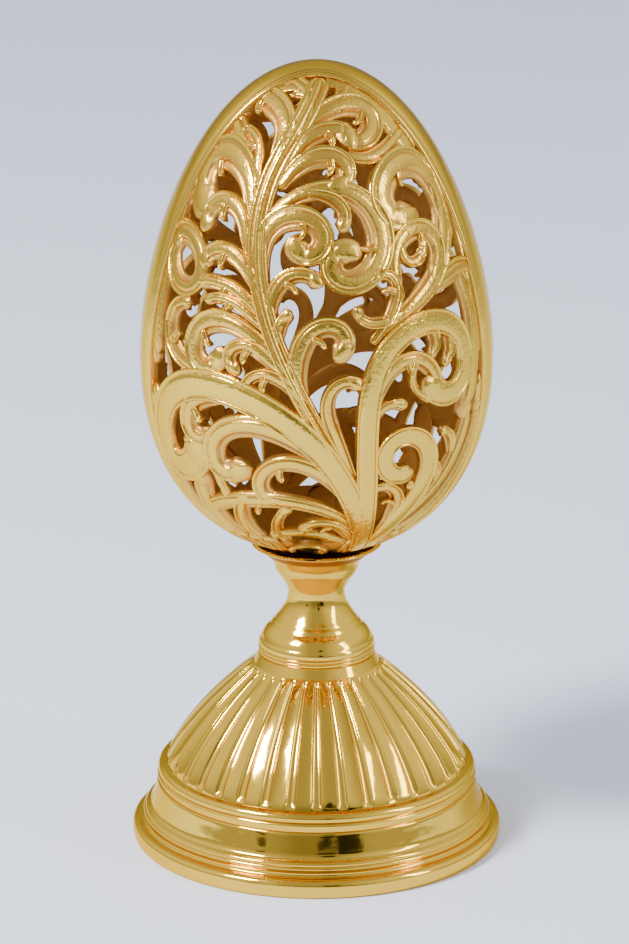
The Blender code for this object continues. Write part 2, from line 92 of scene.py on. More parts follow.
# Carving of a scroll, in millimetres unless said
SHORT_STEP = 0.22            # least and most between the sections of a scroll
LONG_STEP = 0.50
STEP_TURN = 7.0              # degrees that a scroll turns from one section to the next
LEAST_SECTIONS = 8
SPUR_LEAST_LENGTH = 12.0     # only longer leaves carry a spur
SPUR_PLACE = 0.60            # share of the leaf's length
BURIED = 0.8                 # a section this far inside the band is left out
FULL_WIDTH = 1.1             # half width from which a section has its full depth
LEAST_DEPTH = 0.4            # share of that depth that the narrowest scrolls keep
BULB_SWELL = 0.22            # share by which the tip widens
BULB_CREASE = 0.22           # depth of the crease round the bulb of a tip
BANK = 0.16                  # tilt of a scroll towards the hollow side of its bend
RIM_SWITCH = 9.0             # how sharply the rim changes sides where a bend turns over
END_SINK = 0.5               # how far a scroll's rounded ends sink
EDGE_SINK = 0.35             # how far a scroll sinks where it runs into the band
EDGE_BLEND = 0.6             # width over which it does
UPPER_SIDE = -1.2            # lifts above this are on the carved side
INNER_REACH = 0.95           # share of the bend's radius that the inner side may take
CREASE_SHADE = 0.75          # how strongly painted shade darkens and dulls the creases
CREASE_START = 0.16          # depth below the crown at which a crease sets in
CREASE_SPAN = 0.34           # further depth at which it is full
HOLLOW_START = 0.35          # depth at which the painted shade of a hollow sets in
HOLLOW_SPAN = 0.9            # further depth at which it is full

# Stand, in millimetres
DOME_RADIUS = 24.7
DOME_BOTTOM = 12.85
DOME_RISE = 17.1
DOME_FULLNESS = 1.3
COLLAR_RADIUS = 10.35
FLUTE_COUNT = 36
FLUTE_DEPTH = 0.48
FLUTE_HALF_WIDTH = 0.8
FLUTE_HALF_ANGLE = FLUTE_HALF_WIDTH / DOME_RADIUS
LIP_HEIGHT = 0.06            # raised lip on each side of a flute
FLUTE_LOW_END = 13.35
FLUTE_TOP_END = 29.5

# Columns of the turned pieces, and of the band
EVEN_TURN = np.linspace(0.0, 2 * math.pi, 192, endpoint=False)
BAND_TURNS = 600

# A scroll starts at (across, up), in millimetres on the flattened panel, sets off at
# heading degrees from level, and turns by each of its bends in turn over equal shares
# of its length. Widths: root, middle, tip.
Scroll = namedtuple("Scroll", "across up heading length bends widths")

# Centre line of a scroll, section by section: place on the panel, turning in radians per
# millimetre, half width, share of the length, rounding of the ends and bulb of the tip
Path = namedtuple("Path", "across up turning half share rounding bulb")

STEMS = (
    Scroll(6.5, 14.0, 80, 76, (7, 5, -11, -73, -74, -166), (3.4, 4.0, 4.4)),
    Scroll(7.0, 24.0, 95, 72, (21, 27, 23, 45, 71, 160), (3.6, 5.4, 5.8)),
    Scroll(5.5, 34.0, 115, 73, (5, -5, -14, -24, -21, 22), (2.6, 3.4, 4.0)),
    Scroll(9.0, 16.0, 71, 43.4, (-13, -6, 18, 72, 105, 122), (3.4, 3.8, 3.4)),
    Scroll(5.0, 33.5, 121, 37, (20, 28, 62, 164), (2.4, 4.4, 3.8)),
    Scroll(5.5, 36.0, 107, 20, (3, 2, -42, -106), (2.0, 2.8, 2.2)),
)

LEAVES_LEFT_OF_PLUME = (
    Scroll(-1.0, 47.0, 124, 16, (10, 47, 126), (1.6, 2.6, 2.0)),
    Scroll(-3.5, 50.5, 125, 17, (10, 30, 164), (1.6, 2.8, 2.2)),
    Scroll(-5.5, 54.0, 128, 29, (16, 44, 80, 169), (2.0, 4.2, 3.4)),
    Scroll(-8.0, 60.0, 140, 12, (5, 20, 39), (1.6, 2.4, 1.8)),
    Scroll(-8.8, 62.0, 133, 13, (11, 27, 21), (1.8, 3.0, 2.4)),
    Scroll(-10.0, 66.5, 115, 13, (17, 45, 72), (2.0, 3.4, 2.8)),
    Scroll(-11.3, 72.0, 99, 16, (7, 92, 66), (2.0, 3.6, 3.0)),
    Scroll(-11.0, 77.0, 86, 25.5, (14, 77, 60, 62), (2.4, 6.4, 5.0)),
    Scroll(-10.5, 82.0, 83, 12, (-1, 16, 118), (1.6, 2.4, 1.8)),
    Scroll(-7.0, 86.6, 69, 23.5, (6, 73, 52, 64), (2.8, 5.2, 4.2)),
    Scroll(-3.0, 91.0, 66, 15, (8, 40, 70), (2.0, 3.0, 3.0)),
)

LEAVES_RIGHT_OF_PLUME = (
    Scroll(-1.5, 46.5, 113, 23, (-16, -25, -66, -139), (2.4, 4.0, 3.2)),
    Scroll(-6.5, 57.0, 87, 6, (-4, -17, -13), (1.6, 2.4, 2.0)),
    Scroll(-7.8, 60.0, 88, 14.5, (-9, -46, -80), (1.8, 3.0, 2.4)),
    Scroll(-8.5, 66.0, 104, 27.5, (-19, -65, -83, -179), (2.0, 4.4, 3.6)),
    Scroll(-7.0, 78.5, 47, 41, (-28, -45, -38, -56, -73, -183), (2.0, 5.0, 4.0)),
    Scroll(-1.0, 82.0, -5, 8.7, (-14, -38, -55), (1.6, 2.4, 2.2)),
    Scroll(-5.5, 83.5, 53, 16, (-16, -60, -134), (2.2, 4.0, 3.4)),
    Scroll(-4.0, 87.6, 58, 12.5, (-11, -37, -80), (2.0, 3.4, 3.0)),
    Scroll(-2.5, 91.8, 58, 23, (-16, -60, -76, -150), (2.6, 4.8, 3.8)),
    Scroll(3.8, 97.0, 75, 6.5, (0, 6), (2.4, 2.8, 2.8)),
)

RIGHT_SCROLLS = (
    Scroll(8.7, 43.0, 85, 23.5, (-9, -37, -73, -57), (2.0, 3.4, 2.8)),
    Scroll(17.5, 54.2, -135, 8.2, (38, 55, 23), (1.4, 2.0, 1.8)),
    Scroll(9.0, 44.5, 67, 6.8, (-13, -42, -35), (1.6, 2.2, 2.0)),
    Scroll(17.0, 61.0, -23, 8.3, (-13, -44, -55), (1.8, 2.4, 1.8)),
    Scroll(21.0, 60.5, -25, 9.2, (-20, -47, -41), (1.8, 2.6, 2.0)),
    Scroll(9.5, 58.5, 49, 14, (6, 41, 122), (1.6, 2.2, 1.8)),
    Scroll(14.0, 62.0, -163, 8.3, (-4, -22, -66), (1.8, 2.0, 1.8)),
    Scroll(14.0, 65.0, 108, 22.5, (-18, -76, -70, -70), (2.2, 3.8, 3.4)),
    Scroll(14.5, 73.0, -91, 6.9, (31, 73, 51), (1.6, 2.2, 1.8)),
    Scroll(12.0, 60.0, 37, 28.5, (-5, 23, 42, 17), (3.0, 4.2, 3.2)),
    Scroll(26.0, 73.0, 105, 31.5, (10, 42, 96, 111), (3.4, 5.6, 5.0)),
    Scroll(6.0, 88.0, -22, 10, (33, 18, 0), (2.4, 3.0, 2.6)),
    Scroll(20.0, 65.0, 20, 15, (-5, -25, -35), (3.0, 4.0, 3.4)),
    Scroll(29.0, 65.0, -60, 22, (-20, -12, -12, -8), (3.6, 4.6, 3.6)),
)

LEFT_SCROLLS = (
    Scroll(-10.0, 48.3, 162, 22, (27, 11, 75, 128), (2.2, 3.8, 3.2)),
    Scroll(-15.0, 51.8, 177, 22.5, (-2, -22, -76, -69), (1.8, 2.8, 2.4)),
    Scroll(-34.0, 52.0, 92, 47, (-4, -30, -90, -145, -130), (3.4, 4.6, 2.8)),
    Scroll(-34.0, 69.0, 70, 17, (-12, -20, -20), (4.0, 5.0, 4.0)),
    Scroll(-11.5, 88.0, 135, 9, (2, 3, 5), (3.0, 4.2, 3.8)),
    Scroll(-29.0, 36.0, 150, 8, (-5, -10, -10), (4.0, 4.0, 4.0)),
)

# Sunk strips that fill the panel's edges beside the band
LININGS = (
    Scroll(-13.0, 97.5, 30, 15, (-6, -10, -12), (2.0, 2.2, 2.0)),
    Scroll(2.0, 102.6, -28, 18, (-6, -14, -14), (2.0, 3.0, 4.0)),
    Scroll(5.5, 100.2, -38, 17, (-4, -6, -6), (2.6, 5.0, 4.4)),
    Scroll(-33.5, 54.0, 88, 44, (-8, -10, -14, -12), (4.4, 5.0, 4.0)),
    Scroll(33.5, 54.0, 92, 44, (8, 10, 14, 12), (4.0, 4.5, 3.5)),
    Scroll(16.5, 17.8, 34, 36, (8, 13, 18, 18), (3.0, 5.0, 3.2)),
    Scroll(-16.0, 17.0, 148, 34, (-8, -14, -18, -18), (5.0, 7.0, 6.0)),
)

# Small leaves inside the lower right scroll
SPRIGS = (
    Scroll(18.0, 28.5, 85, 4.5, (20, 60), (1.6, 2.0, 1.8)),
    Scroll(21.5, 32.5, 80, 4.5, (20, 60), (1.6, 2.0, 1.8)),
    Scroll(25.0, 37.5, 85, 4.5, (20, 60), (1.6, 2.0, 1.8)),
)

# The arch over the cup, the plate behind it that is dark with painted shadow, and the ribs that
# rise from the cup's rim
NICHE_ARCH = (Scroll(-4.0, 9.0, 91, 19.6, (0, -2, -64, -64, -64, -2, 0), (1.3, 1.3, 1.3)),)
NICHE_SHADOW_PATCH = (Scroll(-0.9, 9.0, 90, 4.9, (0, 0), (5.0, 5.0, 4.9)),)
ROOT_AZIMUTHS = (-70, -58, -47, -37, -28, 22, 31, 40, 49, 59, 70)

# Leaves round the foot of the panel
BASE_LEAVES = (
    Scroll(9.5, 18.0, 70, 19, (-2, -5, 45, 118), (2.2, 3.0, 2.2)),
    Scroll(5.5, 30.0, 117, 25, (16, 35, 71, 110), (2.4, 3.6, 2.8)),
    Scroll(6.5, 22.0, 110, 32.5, (39, 32, 14, 52), (2.4, 3.6, 3.6)),
    Scroll(6.0, 18.0, 101, 13, (13, 43, 100), (2.4, 3.2, 2.4)),
    Scroll(4.5, 17.0, 124, 13, (13, 39, 38), (2.4, 3.2, 2.6)),
    Scroll(-5.0, 19.0, 113, 10, (-5, -28, -30), (2.2, 2.2, 2.0)),
    Scroll(-9.0, 18.0, 125, 13, (-5, -22, -27), (2.8, 3.2, 2.8)),
    Scroll(-12.0, 17.0, 138, 19, (-7, -18, -18), (3.6, 4.8, 4.0)),
    Scroll(-24.0, 39.3, -16, 12.5, (-17, -29, -9), (2.0, 2.6, 2.0)),
    Scroll(15.0, 23.0, 48, 26, (-1, 2, 13, 13), (2.0, 3.0, 2.6)),
    Scroll(15.0, 20.0, 38, 31, (3, 5, 15, 19), (2.0, 2.4, 2.0)),
    Scroll(14.0, 16.5, 30, 34, (3, 6, 14, 22), (2.4, 3.0, 2.2)),
    Scroll(-12.0, 16.0, 150, 38, (-5, -10, -20, -30), (4.4, 5.6, 3.6)),
)

# Sections of a scroll, from its inner to its outer side: place across from -1 to 1, and
# depth below the crown in millimetres on a scroll two millimetres wide
BROAD_STEM = (
    (-1.0, 1.00), (-0.985, 0.62), (-0.95, 0.26), (-0.90, 0.10), (-0.84, 0.06), (-0.78, 0.08),
    (-0.74, 0.20), (-0.70, 0.24), (-0.66, 0.14), (-0.60, 0.04), (-0.30, 0.0), (0.0, 0.0),
    (0.30, 0.01), (0.56, 0.04), (0.62, 0.16), (0.66, 0.26), (0.70, 0.22), (0.74, 0.08),
    (0.82, 0.02), (0.90, 0.06), (0.95, 0.20), (0.985, 0.60), (1.0, 1.00),
)
RIDGED_STEM = (
    (-1.0, 1.00), (-0.97, 0.60), (-0.90, 0.34), (-0.78, 0.20), (-0.64, 0.16), (-0.50, 0.26),
    (-0.42, 0.50), (-0.36, 0.52), (-0.30, 0.26), (-0.20, 0.08), (-0.06, 0.0), (0.08, 0.02),
    (0.20, 0.14), (0.28, 0.38), (0.34, 0.54), (0.40, 0.50), (0.50, 0.26), (0.64, 0.14),
    (0.78, 0.18), (0.90, 0.34), (0.97, 0.60), (1.0, 1.00),
)
ROLLED_LEAF = (
    (-1.0, 1.20), (-0.97, 0.92), (-0.92, 0.74), (-0.82, 0.62), (-0.68, 0.58), (-0.56, 0.62),
    (-0.50, 0.70), (-0.45, 0.64), (-0.40, 0.32), (-0.33, 0.16), (-0.20, 0.12), (0.0, 0.10),
    (0.18, 0.12), (0.36, 0.15), (0.44, 0.22), (0.49, 0.34), (0.54, 0.36), (0.60, 0.20),
    (0.68, 0.05), (0.78, 0.0), (0.87, 0.05), (0.94, 0.24), (0.98, 0.60), (1.0, 1.10),
)

# Underside of every scroll: place across, and share of the thickness
UNDERSIDE = ((0.90, 0.85), (0.45, 1.0), (-0.45, 1.0), (-0.90, 0.85))

# Edge of the band, from its rim inwards: distance from the rim and lift, in millimetres
BAND_EDGE = (
    (0.0, -1.60), (0.0, -0.50), (0.05, -0.24), (0.14, -0.08), (0.28, -0.02), (0.42, -0.08),
    (0.50, -0.34), (0.56, -0.36), (0.64, -0.10), (0.78, -0.02), (0.94, -0.03), (1.06, -0.10),
    (1.13, -0.32), (1.19, -0.32), (1.28, -0.08), (1.42, 0.0),
)

# Turned profiles from the top down, as radius and height in millimetres; a point given
# twice is a corner
STEM_PROFILE = (
    (0.0, 48.7), (5.2, 48.8), (8.2, 49.6), (9.5, 50.4), (9.8, 50.55), (10.2, 50.55),
    (10.55, 50.35), (10.55, 50.15), (10.2, 49.95), (9.4, 49.5), (8.4, 48.7), (7.5, 47.7),
    (7.0, 46.9), (7.0, 46.9), (6.9, 46.5), (6.9, 46.5), (6.5, 45.5), (5.7, 44.4),
    (5.1, 43.4), (4.7, 42.5), (4.6, 41.9), (4.65, 41.35), (4.9, 40.3), (5.4, 39.3),
    (6.05, 38.3), (6.66, 37.5), (6.66, 37.5), (6.75, 37.35), (6.75, 37.35), (7.15, 36.9),
    (7.5, 36.4), (7.5, 36.4), (7.75, 36.15), (7.75, 36.15), (8.3, 35.6), (8.8, 34.9),
    (9.1, 34.2), (9.1, 34.2), (9.25, 34.0), (9.25, 34.0), (9.45, 33.5), (9.42, 32.95),
    (9.3, 32.8), (9.3, 32.8), (9.5, 32.65), (9.5, 32.35), (9.3, 32.2), (9.3, 32.2),
    (9.5, 32.05), (9.5, 31.75), (9.35, 31.5), (9.35, 31.5), (0.0, 31.5),
)

FOOT_PROFILE = (
    (24.75, 12.85), (24.75, 12.85), (25.1, 12.75), (25.6, 12.65), (26.0, 12.3), (26.15, 11.9),
    (26.12, 11.5), (25.95, 11.2), (25.95, 11.2), (26.2, 11.0), (26.3, 10.75), (26.2, 10.4),
    (26.0, 9.7), (26.0, 9.7), (26.2, 9.6), (26.32, 9.35), (26.5, 8.6), (26.7, 7.8),
    (26.9, 7.0), (27.1, 6.2), (27.35, 5.7), (27.8, 5.4), (27.8, 5.4), (28.1, 5.25),
    (28.25, 5.0), (28.25, 4.75), (28.25, 4.75), (28.5, 4.6), (28.62, 4.35), (28.55, 4.1),
    (28.4, 3.9), (28.4, 3.9), (28.35, 3.5), (28.5, 3.15), (28.9, 2.95), (28.9, 2.95),
    (29.45, 3.0), (30.05, 2.75), (30.38, 2.15), (30.4, 1.1), (30.25, 0.35), (29.95, 0.0),
    (29.95, 0.0), (0.0, 0.0),
)


def egg_radius(angle):
    """Radius of the egg at a profile angle, from -90 degrees at the bottom to 90."""
    rise = np.sin(angle)
    return EGG_MID_RADIUS * np.cos(angle) * (1.0 - EGG_TAPER * rise + EGG_FULLNESS * rise**2)


def egg_height(angle):
    """Height above the table of the egg's profile at an angle."""
    return EGG_BOTTOM + EGG_HEIGHT * (1.0 + np.sin(angle)) / 2.0


PROFILE_ANGLES = np.linspace(-math.pi / 2, math.pi / 2, 1801)
PROFILE_STEPS = np.hypot(
    np.diff(egg_radius(PROFILE_ANGLES)), np.diff(egg_height(PROFILE_ANGLES))
)
MERIDIAN = np.concatenate([[0.0], np.cumsum(PROFILE_STEPS)])


def angle_at(distance):
    """Profile angle at a distance up the meridian from the bottom."""
    return np.interp(distance, MERIDIAN, PROFILE_ANGLES)


def profile_slope(angle):
    """Rates at which the profile's radius and height grow with the angle."""
    step = 0.0005
    out = egg_radius(angle + step) - egg_radius(angle - step)
    up = egg_height(angle + step) - egg_height(angle - step)
    return out / (2 * step), up / (2 * step)


def egg_normal(azimuth, angle):
    """Outward direction of the egg's surface."""
    out, up = profile_slope(angle)
    length = np.hypot(out, up)
    flat = up / length
    return np.stack([flat * np.sin(azimuth), -flat * np.cos(azimuth), -out / length], axis=-1)


def egg_point(azimuth, angle, lift=0.0):
    """Point on the egg, lifted along the outward normal; azimuth 0 is the front."""
    radius = egg_radius(angle)
    height = egg_height(angle)
    foot = np.stack([radius * np.sin(azimuth), -radius * np.cos(azimuth), height], axis=-1)
    return foot + egg_normal(azimuth, angle) * np.asarray(lift)[..., None]


def nearest_angle(radius, height, angle):
    """Profile angle of the surface nearest to a point, found from a near one."""
    for _ in range(4):
        out, up = profile_slope(angle)
        miss = (radius - egg_radius(angle)) * out + (height - egg_height(angle)) * up
        angle = angle + miss / (out**2 + up**2)
    return angle


def band_half(angle):
    """Half width of the smooth band at a profile angle."""
    share = np.clip(egg_radius(angle) / EGG_MID_RADIUS, 0.0, 1.0)
    return BAND_TOP_HALF + (BAND_SIDE_HALF - BAND_TOP_HALF) * share


def gold_material(name, colour, roughness, bump, painted_shade_colour=None):
    """Gilding with a fine unevenness, with painted shade, redder and duller, where it lies in a
    hollow.
    """
    material = bpy.data.materials.new(name)
    material.use_nodes = True
    nodes = material.node_tree.nodes
    links = material.node_tree.links
    place = nodes.new("ShaderNodeTexCoord")

    def noise(scale, detail):
        node = nodes.new("ShaderNodeTexNoise")
        node.inputs["Scale"].default_value = scale
        node.inputs["Detail"].default_value = detail
        links.new(place.outputs["Object"], node.inputs["Vector"])
        return node.outputs["Fac"]

    def raised(height, distance):
        node = nodes.new("ShaderNodeBump")
        node.inputs["Strength"].default_value = 1.0
        node.inputs["Distance"].default_value = distance
        links.new(height, node.inputs["Height"])
        return node

    shader = nodes["Principled BSDF"]
    shader.inputs["Base Color"].default_value = colour
    shader.inputs["Metallic"].default_value = 1.0
    shader.inputs["Specular Tint"].default_value = EDGE_GOLD
    spread = nodes.new("ShaderNodeMapRange")
    spread.inputs["To Min"].default_value = roughness * 0.75
    spread.inputs["To Max"].default_value = roughness * 1.3
    links.new(noise(CLOUD_SCALE, 4.0), spread.inputs["Value"])
    links.new(spread.outputs["Result"], shader.inputs["Roughness"])
    dents = raised(noise(GRAIN_SCALE, 3.0), bump)
    waves = raised(noise(WAVE_SCALE, 1.0), WAVE_HEIGHT)
    links.new(dents.outputs["Normal"], waves.inputs["Normal"])
    links.new(waves.outputs["Normal"], shader.inputs["Normal"])
    # painted shade: redder, darker and duller as the hollow attribute rises
    if painted_shade_colour:
        depth = nodes.new("ShaderNodeAttribute")
        depth.attribute_name = "hollow"
        shade_mix = nodes.new("ShaderNodeMix")
        shade_mix.data_type = "RGBA"
        shade_mix.inputs["A"].default_value = colour
        shade_mix.inputs["B"].default_value = painted_shade_colour
        links.new(depth.outputs["Fac"], shade_mix.inputs["Factor"])
        links.new(shade_mix.outputs["Result"], shader.inputs["Base Color"])
        dulled = nodes.new("ShaderNodeMath")
        dulled.operation = "MULTIPLY_ADD"
        dulled.inputs[1].default_value = HOLLOW_DULLNESS
        links.new(depth.outputs["Fac"], dulled.inputs[0])
        links.new(spread.outputs["Result"], dulled.inputs[2])
        links.new(dulled.outputs["Value"], shader.inputs["Roughness"])
    return material


def add_piece(name, points, faces, material, node, hollow=None):
    """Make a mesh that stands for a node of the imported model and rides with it."""
    mesh = bpy.data.meshes.new(name)
    mesh.from_pydata(points.tolist(), [], faces)
    mesh.materials.append(material)
    # how much painted shade each point takes, for the material to read
    if hollow is not None:
        layer = mesh.attributes.new("hollow", "FLOAT", "POINT")
        layer.data.foreach_set("value", hollow.astype(np.float32))
    mesh.shade_smooth()
    mesh.set_sharp_from_angle(angle=SHARP_ANGLE)
    made = bpy.data.objects.new(name, mesh)
    bpy.context.scene.collection.objects.link(made)
    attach(made, "root")
    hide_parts(node)


def grid_faces(rows, columns, first=0, close_rows=False):
    """Faces of a grid whose columns run round, listed row by row."""
    row = np.arange(rows if close_rows else rows - 1)
    low = row[:, None] * columns + np.arange(columns)[None, :]
    low_after = row[:, None] * columns + (np.arange(columns) + 1)[None, :] % columns
    high = (low + columns) % (rows * columns)
    high_after = (low_after + columns) % (rows * columns)
    quads = np.stack([low, low_after, high_after, high], axis=-1).reshape(-1, 4)
    return (quads + first).tolist()


def scroll_path(scroll):
    """Centre line of a scroll on the flattened panel, with rounded ends."""
    root, tip = scroll.widths[0] / 2, scroll.widths[2] / 2
    quarter = np.linspace(0.0, math.pi / 2, 6)
    count = len(scroll.bends)
    middles = (np.arange(count) + 0.5) / count
    fine = np.linspace(0.0, scroll.length, 201)
    bend = np.interp(fine / scroll.length, middles, scroll.bends) * count / scroll.length
    gaps = np.clip(STEP_TURN / np.maximum(np.abs(bend), 0.1), SHORT_STEP, LONG_STEP)
    paces = np.concatenate([[0.0], np.cumsum(np.diff(fine) / (gaps[1:] + gaps[:-1]) * 2)])
    samples = max(LEAST_SECTIONS, math.ceil(paces[-1]))
    along = np.concatenate([
        -root * np.cos(quarter[:-1]),
        np.interp(np.linspace(0.0, paces[-1], samples + 1), paces, fine),
        scroll.length + tip * np.sin(quarter[1:]),
    ])
    turning = np.interp(along / scroll.length, middles, scroll.bends) * count / scroll.length
    steps = np.diff(along)
    heading = np.concatenate([[0.0], np.cumsum((turning[1:] + turning[:-1]) / 2 * steps)])
    heading += scroll.heading - np.interp(0.0, along, heading)
    middle_heading = np.radians((heading[1:] + heading[:-1]) / 2)
    across = np.concatenate([[0.0], np.cumsum(np.cos(middle_heading) * steps)])
    up = np.concatenate([[0.0], np.cumsum(np.sin(middle_heading) * steps)])
    across += scroll.across - np.interp(0.0, along, across)
    up += scroll.up - np.interp(0.0, along, up)
    share = np.clip(along / scroll.length, 0.0, 1.0)
    half = np.interp(share, (0.0, 0.5, 1.0), scroll.widths) / 2
    beyond = np.maximum(-along / root, (along - scroll.length) / tip)
    rounding = np.sqrt(1.0 - np.clip(beyond, 0.0, 0.995) ** 2)
    bulb = np.exp(-(((along - scroll.length - 0.1 * tip) / (1.1 * tip)) ** 2))
    return Path(across, up, np.radians(turning), half * rounding, share, rounding, bulb)


def spurs(scrolls):
    """Small pointed leaflets on the hollow side of the longer leaves."""
    made = []
    for scroll in scrolls:
        if scroll.length < SPUR_LEAST_LENGTH:
            continue
        path = scroll_path(scroll)
        place = int(np.searchsorted(path.share, SPUR_PLACE))
        across, up = path.across[place], path.up[place]
        side = 1.0 if path.turning[place] > 0.0 else -1.0
        heading = math.atan2(path.up[place + 1] - up, path.across[place + 1] - across)
        out = path.half[place] * 0.55 * side
        made.append(Scroll(
            across - math.sin(heading) * out, up + math.cos(heading) * out,
            math.degrees(heading) + 58 * side, 2.0, (10 * side, 50 * side), (1.3, 1.1, 0.8),
        ))
    return tuple(made)


def root_ribs():
    """Ribs that run from the cup's rim up into the leaves, clear of the front niche."""
    low, high = 8.5, 18.0
    made = []
    for degrees in ROOT_AZIMUTHS:
        azimuth = math.radians(degrees)
        ends = [azimuth * egg_radius(angle_at(place * MM)) / MM for place in (low, high)]
        sideways = ends[1] - ends[0]
        heading = math.degrees(math.atan2(high - low, sideways))
        length = math.hypot(high - low, sideways)
        made.append(Scroll(ends[0], low, heading, length, (0, 0), (2.0, 2.8, 3.4)))
    return tuple(made)


def section_depth(section, across, rim_side):
    """Depth of a section at places across it, its rim leaning to one side or the other."""
    places, depths = zip(*section)
    one = np.interp(across, places, depths)
    other = np.interp(-across, places, depths)
    lean = (1.0 + rim_side) / 2
    return one * lean + other * (1.0 - lean)


def carved_depth(path, section, places, half, bulbous):
    """Depth below the crown at each place of each section, with the bulb of the tip, the
    crease round it, the tilt in a bend and the rounding of the ends."""
    bulb = (path.bulb * bulbous)[:, None]
    rim_side = -np.tanh(path.turning * RIM_SWITCH)
    depth = section_depth(section, places[None, :], rim_side[:, None])
    domed = 0.10 + 0.75 * places[None, :] ** 2
    edges = np.clip((np.abs(places[None, :]) - 0.9) / 0.1, 0.0, 1.0) * 0.7
    depth = depth * (1.0 - bulb) + (domed + edges) * bulb
    depth = depth * np.clip(half / FULL_WIDTH, LEAST_DEPTH, 1.0)[:, None]
    crease = np.exp(-(((bulb - 0.35) / 0.12) ** 2)) * bulbous * BULB_CREASE
    bank = BANK * np.sin(path.share * math.pi) * rim_side
    depth += crease - bank[:, None] * places[None, :] + np.abs(bank)[:, None]
    return depth + (1.0 - path.rounding[:, None]) * END_SINK


def left_of(line, normal):
    """Direction to the left of a line on the egg, at each of its points."""
    ahead = np.gradient(line, axis=0)
    ahead -= normal * np.sum(ahead * normal, axis=1, keepdims=True)
    ahead /= np.linalg.norm(ahead, axis=1, keepdims=True)
    return np.cross(normal, ahead)


def painted_shade_share(lift, depth):
    """How much painted shade points take for lying in a hollow or a crease, from 0 to 1."""
    crease_shade = CREASE_SHADE * np.clip((depth - CREASE_START) / CREASE_SPAN, 0.0, 1.0)
    low_lying = np.clip((-lift - HOLLOW_START) / HOLLOW_SPAN, 0.0, 1.0)
    return np.maximum(low_lying, crease_shade)


def ribbon(scroll, section, level, sink, bulbous, thickness=SHELL):
    """Ring by ring, the points of a scroll as a carved ribbon on the egg, how much painted
    shade each takes for lying in a hollow or a crease, and which rings the band or the cup
    hides."""
    path = scroll_path(scroll)
    half = path.half * (1.0 + BULB_SWELL * (path.bulb * bulbous))
    angle = angle_at(path.up * MERIDIAN[-1] / PATTERN_MERIDIAN)
    flat_radius = egg_radius(angle) / EGG_MID_RADIUS * PATTERN_MID_RADIUS
    azimuth = path.across / np.maximum(flat_radius, 1.0)
    line = egg_point(azimuth, angle)

    # Height of the carved side and of the underside
    places = np.array([place for place, _ in section])
    under, shares = np.array(UNDERSIDE).T
    depth = carved_depth(path, section, places, half, bulbous)
    top = level - sink * np.clip(1.0 - path.share * 3.0, 0.0, 1.0)
    floor = np.tile(shares * -thickness / MM, (len(depth), 1))
    lift = np.concatenate([top[:, None] - depth, floor], axis=1)
    depth = np.concatenate([depth, np.ones_like(floor)], axis=1)

    # Places beside the line, kept from crossing over in a tight bend
    places = np.concatenate([places, under])
    turn_radius = INNER_REACH / np.maximum(np.abs(path.turning), 0.001)
    inner = places[None, :] * path.turning[:, None] > 0.0
    reach = np.where(inner, np.minimum(half, turn_radius)[:, None], half[:, None])
    spread = places[None, :] * reach * MM
    left = left_of(line, egg_normal(azimuth, angle))
    wide = line[:, None, :] + left[:, None, :] * spread[..., None]
    radius = np.hypot(wide[..., 0], wide[..., 1])
    round_at = np.arctan2(wide[..., 0], -wide[..., 1])
    start = np.repeat(angle[:, None], len(places), axis=1)
    closest = nearest_angle(radius, wide[..., 2], start)
    into_band = (band_half(closest) - np.abs(wide[..., 1])) / (EDGE_BLEND * MM)
    lift = lift - np.clip(into_band, 0.0, 1.0) * EDGE_SINK * (lift > UPPER_SIDE)

    hidden = band_half(angle) - np.abs(line[:, 1]) > (half + BURIED) * MM
    hidden |= path.up < CUP_REACH
    return egg_point(round_at, closest, lift * MM), painted_shade_share(lift, depth), hidden


def leaf_piece(name, groups, turned, material):
    """One mesh of many ribbons, on the front panel or, turned half way round, the back."""
    points, hollows, faces = [], [], []
    first = 0
    for scrolls, section, level, *shape in groups:
        for number, scroll in enumerate(scrolls):
            crown = level - 0.02 * (number % 5)
            rings, hollow, hidden = ribbon(scroll, section, crown, *shape)
            rows, columns = hollow.shape
            quads = np.array(grid_faces(rows, columns, first)).reshape(rows - 1, columns, 4)
            shown = ~(hidden[1:] & hidden[:-1])
            faces += quads[shown].reshape(-1, 4).tolist()
            faces.append([first + column for column in range(columns)][::-1])
            faces.append([first + (rows - 1) * columns + column for column in range(columns)])
            points.append(rings.reshape(-1, 3))
            hollows.append(hollow.reshape(-1))
            first += rows * columns
    points = np.concatenate(points)
    if turned:
        points = points * (-1.0, -1.0, 1.0)
    hollows = np.concatenate(hollows)
    add_piece(name, points, faces, material, "openwork_egg", hollows)


